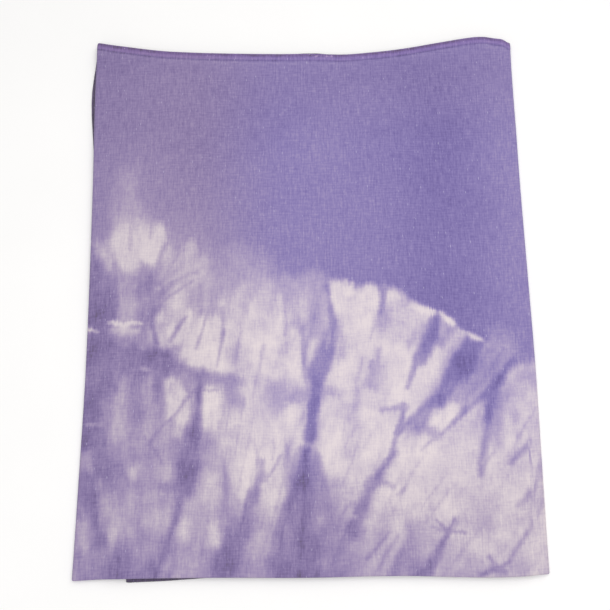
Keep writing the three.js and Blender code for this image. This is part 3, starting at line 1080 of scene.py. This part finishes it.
def painted(depth, u, v, marks):
    """The dye's depth with a table of marks laid over it, one after the other.

    A mark's line is a quadratic curve through its ends and its pushed middle. Inside its width
    the depth is the mark's own, and it fades out by the smooth step over the soft edge, which
    fine noise along the pleats feathers. Slower noise makes the mark a little patchy."""
    feather = noises(PLEAT_FEATHER, *rays(u, v), 31) + noises(THREAD_FEATHER, u, v, 32)
    patch = 1 - PATCHY["depth"] - noises(PATCHY, u, v, 33)
    t = np.linspace(0, 1, MARK_STEPS + 1)
    for mark in marks:
        start, end = np.array([mark["u0"], mark["v0"]]), np.array([mark["u1"], mark["v1"]])
        along = end - start
        pushed = mark["bow"] * np.array([-along[1], along[0]]) / np.hypot(*along)
        line = start + t[:, None] * along + (4 * t * (1 - t))[:, None] * pushed
        widths = (mark["start"], mark["half"], mark["end"])
        soft = SPREAD * mark["soft"]
        reach = max(widths) / 2 + soft
        low, high = line.min(0) - reach, line.max(0) + reach
        near = (u > low[0]) & (u < high[0]) & (v > low[1]) & (v < high[1])
        place = np.stack([u[near], v[near]], -1)[:, None]
        step = np.diff(line, axis=0)
        share = np.clip(((place - line[:-1]) * step).sum(-1) / (step * step).sum(-1), 0, 1)
        away = np.linalg.norm(place - line[:-1] - share[..., None] * step, axis=-1)
        way = (share + np.arange(MARK_STEPS)) / MARK_STEPS
        inside = (np.interp(way, (0, 0.5, 1), widths) / 2 - away).max(-1)
        cover = patch[near] * ease(0.5 + inside / soft + feather[near])
        depth[near] = mix(depth[near], mark["depth"], cover)
    return depth


def violet_depth(u, v):
    """Depth of the dye outside the tie. Each broad area changes it by exp(-(distance / size)^2)."""
    depth = VIOLET + noises(VIOLET_NOISES, u, v, 23)
    for area in VIOLET_AREAS:
        across, along = (u - area["u"]) / area["across"], (v - area["v"]) / area["along"]
        depth = depth + area["deeper"] * np.exp(-(across**2) - along**2)
    return depth


def hem_shade_bands(name, from_edge):
    """How much the hem's bands of painted shade and highlight add to a place. Each band fades by
    exp(-(distance / width)^2).
    """
    away = (from_edge[..., None] - HEM_SHADE_BANDS["inset"]) / HEM_SHADE_BANDS["width"]
    return (HEM_SHADE_BANDS[name] * np.exp(-(away**2))).sum(-1)


def dye_depth(u, v):
    """Depth of the dye at places on the flat cloth, the same on both plies."""
    v = np.abs(v)
    bent_u = u + WANDER * noise(u, v, WANDER_LENGTH, WANDER_LENGTH, 21)
    bent_v = v + WANDER * noise(u, v, WANDER_LENGTH, WANDER_LENGTH, 22)
    comb = noises(COMB_NOISES, u, v, 24)
    inside = ease(0.5 + (column(TIE, "v", bent_u) - bent_v) / column(TIE, "soft", bent_u) + comb)
    depth = mix(violet_depth(u, v), INSIDE, inside)
    for marks in (GROUND, PALE, DARK, LINES, BARE):
        depth = painted(depth, bent_u, bent_v, marks)
    ray_u, ray_v = rays(bent_u, bent_v)
    depth = depth + inside * noises(PLEAT_NOISES, ray_u, ray_v, 41)
    depth = depth + inside * noises(POOL_NOISES, u, v, 81)
    for number, row in enumerate(PUCKERS):
        line = (1 - np.abs(noise(ray_u, ray_v, row["across"], row["along"], 61 + number))) ** 4
        patch = ease(0.5 + noise(bent_u, bent_v, *PUCKER_PATCH, 71 + number))
        depth = depth + inside * row["depth"] * (patch * line - PUCKER_MEAN)
    return depth


def warmth(u, v):
    """How greyed the violet is: fully at the left and towards the front fold, a little by the hem."""
    left = ease((-u - GREY_LEFT[0]) / GREY_LEFT[1])
    front = ease((GREY_FRONT[0] - np.abs(v)) / GREY_FRONT[1])
    hem = GREY_HEM_SHARE * ease((np.abs(v) - GREY_HEM[0]) / GREY_HEM[1])
    return 1 - (1 - left) * (1 - front) * (1 - hem)


def dye_values(u, v, from_edge):
    """The dye's depth, how fast it changes across and along the cloth, how greyed it is, and how
    far a place is on the hem, where the violet is redder. The depth and the greying also hold painted
    shade on the turned-under flaps and the inner ply's hem, and the hem's bands of painted shade
    and highlight."""
    reach = SLOPE_REACH
    across = (dye_depth(u + reach, v) - dye_depth(u - reach, v)) / (2 * reach)
    along = (dye_depth(u, v + reach) - dye_depth(u, v - reach)) / (2 * reach)
    # The hem's bands add painted shade and highlight to the depth, and painted shade to the greying
    uneven = sum(noise(u + v, 0 * u, length, 1, 51) for length in HEM_SHADE_UNEVEN_LENGTHS) / 2
    hem = hem_shade_bands("depth", from_edge) * (1 + HEM_SHADE_UNEVEN * uneven)
    front = FRONT_DEPTH * ease(1 - np.abs(v) / FRONT_FADE)
    # Painted shade on the turned-under flaps and the inner ply's hem: their dye is set deeper and
    # fully greyed, and its slopes are dropped
    turned = ease((np.abs(u) - UNDER_SHADE_FROM) / UNDER_SHADE_FADE)
    inner = ease((-v - INNER_SHADE_FROM) / INNER_SHADE_FADE)
    under = np.maximum(turned, inner)
    grey = np.maximum(warmth(u, v), hem_shade_bands("grey", from_edge))
    return {
        "dye": mix(dye_depth(u, v) + hem + front, UNDER_SHADE_DEPTH, under),
        "dye_per_mm_across": across * (1 - under),
        "dye_per_mm_along": along * (1 - under),
        "warmth": np.maximum(grey, under),
        "hem": (1 - ease((from_edge - HEM_TINT_REACH) / HEM_TINT_FADE)) * (1 - under),
    }


# --- Materials -----------------------------------------------------------------------------------

FLAT_MAP = "flat_cloth"
DYE_VALUES = ("dye", "dye_per_mm_along", "dye_per_mm_across", "warmth", "hem")

# The violet dye on cotton at equal steps of depth, from bare cloth past full depth at 1 to the
# darkest, which is mostly painted shade on the turned-under flaps and the hem. The cool ramp is
# the cloth as dyed; the warm one is where the dye had greyed, and it also colours painted shade
DEEPEST = 1.4
COOL_DYE = ("#E0D4D8", "#CEC2CF", "#B7A9C5", "#A294BC", "#8C7FB3", "#7A6DA6", "#675A8F", "#544A77")
WARM_DYE_AND_SHADE = ("#E0D4D6", "#CEC2CB", "#B7A9BE", "#A393B4", "#9080A9", "#7D6D9A", "#685B78", "#524C5C")
HEM_TINT = "#FFF4FF"

# How far the dye wicks along the threads of the warp and the weft: sizes of the noise, across and
# along the cloth, and its reach
WICKS = rows("across along reach", (1.3, 34, 1.8), (30, 1.6, 0.7))

# Sizes of the cloth's unevenness, across and along it, and how much each changes the dye's depth.
# A thread is about 0.7 mm wide, which is too fine to show, so the finest sizes are about twice as
# coarse as the real weave. Bare thread shows this share of it
THREAD_NOISES = rows(
    "across along depth",
    (1.5, 13, 0.084),
    (3.2, 22, 0.034),
    (11, 1.5, 0.062),
    (1.6, 3.2, 0.056),
    (6, 8, 0.014),
    (70, 55, 0.025),
)
BARE_UNEVEN = 0.65

# A slub, a short thick place in a thread: its colour and size, between which values of its noise
# it comes up, and how much of the deepest dye it covers
SLUB = "#E6DFF4"
SLUB_SIZE = (1.1, 5)
SLUB_RANGE = (0.86, 1.2)
SLUB_COVER = 0.4

# The noise texture mostly gives values in this range. Each noise has a number, which moves it by
# so many cells, so that no two are alike
NOISE_RANGE = (0.2, 0.8)
NOISE_MOVE = (17.3, 9.1, 1)
WICK_NUMBER, THREAD_NUMBER, SLUB_NUMBER = 1, 3, 11

# A thread that took more dye stands a little lower, by this share of the bump's distance
THREAD_RELIEF = -0.5

# The sewing thread's colours and one turn of its twist, and the board's colours and its mottle
THREAD_COLOURS = ("#6A5C98", "#8C7FB6")
THREAD_TWIST = 1 / 3
BOARD_COLOURS = ("#FBFAF9", "#FFFEFD")
BOARD_MOTTLE = 111


def linear(hex_colour):
    """An sRGB hex colour as the four linear numbers that a node takes."""
    srgb = np.array([int(hex_colour[k : k + 2], 16) for k in (1, 3, 5)]) / 255
    low, high = srgb / 12.92, ((srgb + 0.055) / 1.055) ** 2.4
    return (*np.where(srgb <= 0.04045, low, high), 1.0)


def new_material(name):
    """A material with only an output, and its node tree."""
    material = bpy.data.materials.new(name)
    material.use_nodes = True
    material.node_tree.nodes.clear()
    return material, material.node_tree


def add(tree, kind, inputs=None, colours=(), **settings):
    """Adds a node with its settings. An input is a value, another node's output to link, or the
    node itself, for its first output. A ramp's colours are spaced evenly from 0 to 1."""
    node = tree.nodes.new("ShaderNode" + kind)
    for name, value in settings.items():
        setattr(node, name, value)
    for key, value in (inputs or {}).items():
        if isinstance(value, bpy.types.Node):
            value = value.outputs[0]
        if isinstance(value, bpy.types.NodeSocket):
            tree.links.new(value, node.inputs[key])
        else:
            node.inputs[key].default_value = value
    for place in np.linspace(0, 1, len(colours))[1:-1]:
        node.color_ramp.elements.new(place)
    for number, colour in enumerate(colours):
        node.color_ramp.elements[number].color = linear(colour)
    return node


def dyed_cotton():
    """Handloom cotton, tied and dyed: matt, with uneven thread that takes the dye in streaks."""
    material, tree = new_material("handloom cotton, tied and dyed")
    flat = add(tree, "UVMap", uv_map=FLAT_MAP)
    read = {name: add(tree, "Attribute", attribute_name=name).outputs["Fac"] for name in DYE_VALUES}

    def grain(across, along, number, detail=0.0):
        """Noise from -1 to 1 with cells of that size in millimetres across and along the cloth."""
        sizes = (1 / (across * MM), 1 / (along * MM), 0)
        scaled = add(tree, "VectorMath", {0: flat, 1: sizes}, operation="MULTIPLY")
        moved = add(tree, "VectorMath", {0: scaled, 1: [number * move for move in NOISE_MOVE]})
        value = add(tree, "TexNoise", {"Vector": moved, "Scale": 1.0, "Detail": detail})
        ends = {1: NOISE_RANGE[0], 2: NOISE_RANGE[1], 3: -1.0, 4: 1.0}
        return add(tree, "MapRange", {0: value, **ends}, clamp=False)

    # The dye wicks along single threads, so its edge is combed: it is read a little way off
    dye = read["dye"]
    for number, (slope, wick) in enumerate(zip(DYE_VALUES[1:3], WICKS)):
        run = grain(wick["across"], wick["along"], WICK_NUMBER + number, detail=1.0)
        run = add(tree, "Math", {0: run, 1: wick["reach"]}, operation="MULTIPLY")
        dye = add(tree, "Math", {0: run, 1: read[slope], 2: dye}, operation="MULTIPLY_ADD")

    threads = [
        grain(row["across"], row["along"], THREAD_NUMBER + number)
        for number, row in enumerate(THREAD_NOISES)
    ]
    uneven = 0.0
    for layer, row in zip(threads, THREAD_NOISES):
        uneven = add(tree, "Math", {0: layer, 1: row["depth"], 2: uneven}, operation="MULTIPLY_ADD")
    shown = {0: dye, 1: 1 - BARE_UNEVEN, 2: BARE_UNEVEN}
    shown = add(tree, "Math", shown, operation="MULTIPLY_ADD")
    dye = add(tree, "Math", {0: uneven, 1: shown, 2: dye}, operation="MULTIPLY_ADD")

    # A slub shows paler the deeper the dye round it is
    slub = grain(*SLUB_SIZE, SLUB_NUMBER)
    slub = add(tree, "MapRange", {0: slub, 1: SLUB_RANGE[0], 2: SLUB_RANGE[1], 4: SLUB_COVER})
    slub = add(tree, "Math", {0: slub, 1: dye}, operation="MULTIPLY")

    depth = add(tree, "Math", {0: dye, 1: 1 / DEEPEST}, operation="MULTIPLY")
    colour, greyed = (add(tree, "ValToRGB", {0: depth}, dyes) for dyes in (COOL_DYE, WARM_DYE_AND_SHADE))
    # Where the violet is greyed, and under painted shade, warmth brings in the warm ramp
    for share, over, blend in (
        (read["warmth"], greyed, "MIX"),
        (slub, linear(SLUB), "MIX"),
        (read["hem"], linear(HEM_TINT), "MULTIPLY"),
    ):
        layers = {0: share, 6: colour, 7: over}
        colour = add(tree, "Mix", layers, data_type="RGBA", blend_type=blend).outputs[2]

    relief = add(tree, "Math", {0: threads[0], 1: THREAD_RELIEF}, operation="MULTIPLY")
    bump = add(tree, "Bump", {"Height": relief, "Strength": 0.35, "Distance": 0.0002})
    finish = {
        "Base Color": colour,
        "Roughness": 0.95,
        "Specular IOR Level": 0.2,
        "Sheen Weight": 0.12,
        "Sheen Roughness": 0.5,
        "Normal": bump,
    }
    add(tree, "OutputMaterial", {"Surface": add(tree, "BsdfPrincipled", finish)})
    return material


def sewing_thread():
    """Spun cotton thread in the cloth's own violet: finer and a little shinier than the cloth."""
    material, tree = new_material("spun cotton sewing thread")
    place = add(tree, "TexCoord").outputs["Object"]
    scale = 1 / (THREAD_TWIST * MM)
    ply = add(tree, "TexNoise", {"Vector": place, "Scale": scale, "Detail": 1.0})
    bump = add(tree, "Bump", {"Height": ply, "Strength": 0.3, "Distance": 0.0001})
    finish = {
        "Base Color": add(tree, "ValToRGB", {0: ply}, THREAD_COLOURS),
        "Roughness": 0.7,
        "Sheen Weight": 0.2,
        "Normal": bump,
    }
    add(tree, "OutputMaterial", {"Surface": add(tree, "BsdfPrincipled", finish)})
    return material


def painted_board():
    """A painted board: the pale floor, matt and even."""
    material, tree = new_material("matt painted board")
    place = add(tree, "TexCoord").outputs["Object"]
    scale = 1 / (BOARD_MOTTLE * MM)
    mottle = add(tree, "TexNoise", {"Vector": place, "Scale": scale, "Detail": 3.0})
    colour = add(tree, "ValToRGB", {0: mottle}, BOARD_COLOURS)
    shader = add(tree, "BsdfPrincipled", {"Base Color": colour, "Roughness": 0.9})
    add(tree, "OutputMaterial", {"Surface": shader})
    return material


# --- The pieces ----------------------------------------------------------------------------------

cloth_points, cloth_places, cloth_quads, cloth_triangles = folded_cloth()
middle = (cloth_points.min(0) + cloth_points.max(0)) / 2
cad_middle = np.array(CAD_BOX[0] + CAD_BOX[1]) / 2 / MM
to_middle = np.array([cad_middle[0] - middle[0], cad_middle[1] - middle[1], 0])

cloth, used = make_mesh("folded_cloth", cloth_points + to_middle, cloth_quads, cloth_triangles)
cloth_places = [values[used] for values in cloth_places]
corner = np.zeros(len(cloth.data.loops), int)
cloth.data.loops.foreach_get("vertex_index", corner)
flat = np.stack(cloth_places[:2], -1)[corner] * MM
cloth.data.uv_layers.new(name=FLAT_MAP).data.foreach_set("uv", flat.ravel())
for name, values in dye_values(*cloth_places).items():
    add_values(cloth, name, values)
cloth.data.materials.append(dyed_cotton())

thread_points, *thread_faces = stitches()
thread, _ = make_mesh("hem_stitches", thread_points + to_middle, *thread_faces)
thread.data.materials.append(sewing_thread())

for piece in (cloth, thread):
    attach(piece, "root")
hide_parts("tablecloth")


# --- Floor, light and camera ---------------------------------------------------------------------

# Metres, degrees and watts, and millimetres for the camera's lens and sensor. A softbox has a
# name, a place, a size and a power
FLOOR_HALF = 3.0
ROOM_LIGHT = 0.44
SOFTBOXES = (
    ("softbox_above", (0.05, -0.2, 1.7), 1.8, 20.5),
    ("softbox_right", (1.1, 0.9, 1.6), 1.2, 6.5),
)
CAMERA_LENS = 54
CAMERA_SENSOR = 36
CAMERA_AZIMUTH = 1.5
CAMERA_ELEVATION = 76.7
CAMERA_ROLL = -2.2
CAMERA_DISTANCE = 0.949
CAMERA_TARGET = (-0.0011, -0.0122, 0)

floor_mesh = bpy.data.meshes.new("floor")
floor_corners = [(x * FLOOR_HALF, y * FLOOR_HALF, 0) for x, y in ((-1, -1), (1, -1), (1, 1), (-1, 1))]
floor_mesh.from_pydata(floor_corners, [], [(0, 1, 2, 3)])
floor = bpy.data.objects.new("floor", floor_mesh)
bpy.context.scene.collection.objects.link(floor)
floor.data.materials.append(painted_board())

scene = bpy.context.scene
scene.view_settings.view_transform = "Standard"
scene.world = bpy.data.worlds.new("studio")
scene.world.use_nodes = True
background = scene.world.node_tree.nodes["Background"]
background.inputs["Color"].default_value = (1, 1, 1, 1)
background.inputs["Strength"].default_value = ROOM_LIGHT


def softbox(name, place, size, power):
    """A square area light at a place in metres, turned to the middle of the cloth."""
    light = bpy.data.lights.new(name, "AREA")
    light.size = size
    light.energy = power
    lamp = bpy.data.objects.new(name, light)
    lamp.location = place
    lamp.rotation_euler = (-Vector(place)).to_track_quat("-Z", "Y").to_euler()
    scene.collection.objects.link(lamp)


for softbox_values in SOFTBOXES:
    softbox(*softbox_values)

camera = bpy.data.cameras.new("camera")
camera.lens = CAMERA_LENS
camera.sensor_width = CAMERA_SENSOR
viewer = bpy.data.objects.new("camera", camera)
viewer.matrix_world = (
    Matrix.Translation(CAMERA_TARGET)
    @ Matrix.Rotation(np.radians(CAMERA_AZIMUTH), 4, "Z")
    @ Matrix.Rotation(np.radians(90 - CAMERA_ELEVATION), 4, "X")
    @ Matrix.Rotation(np.radians(CAMERA_ROLL), 4, "Z")
    @ Matrix.Translation((0, 0, CAMERA_DISTANCE))
)
scene.collection.objects.link(viewer)
scene.camera = viewer
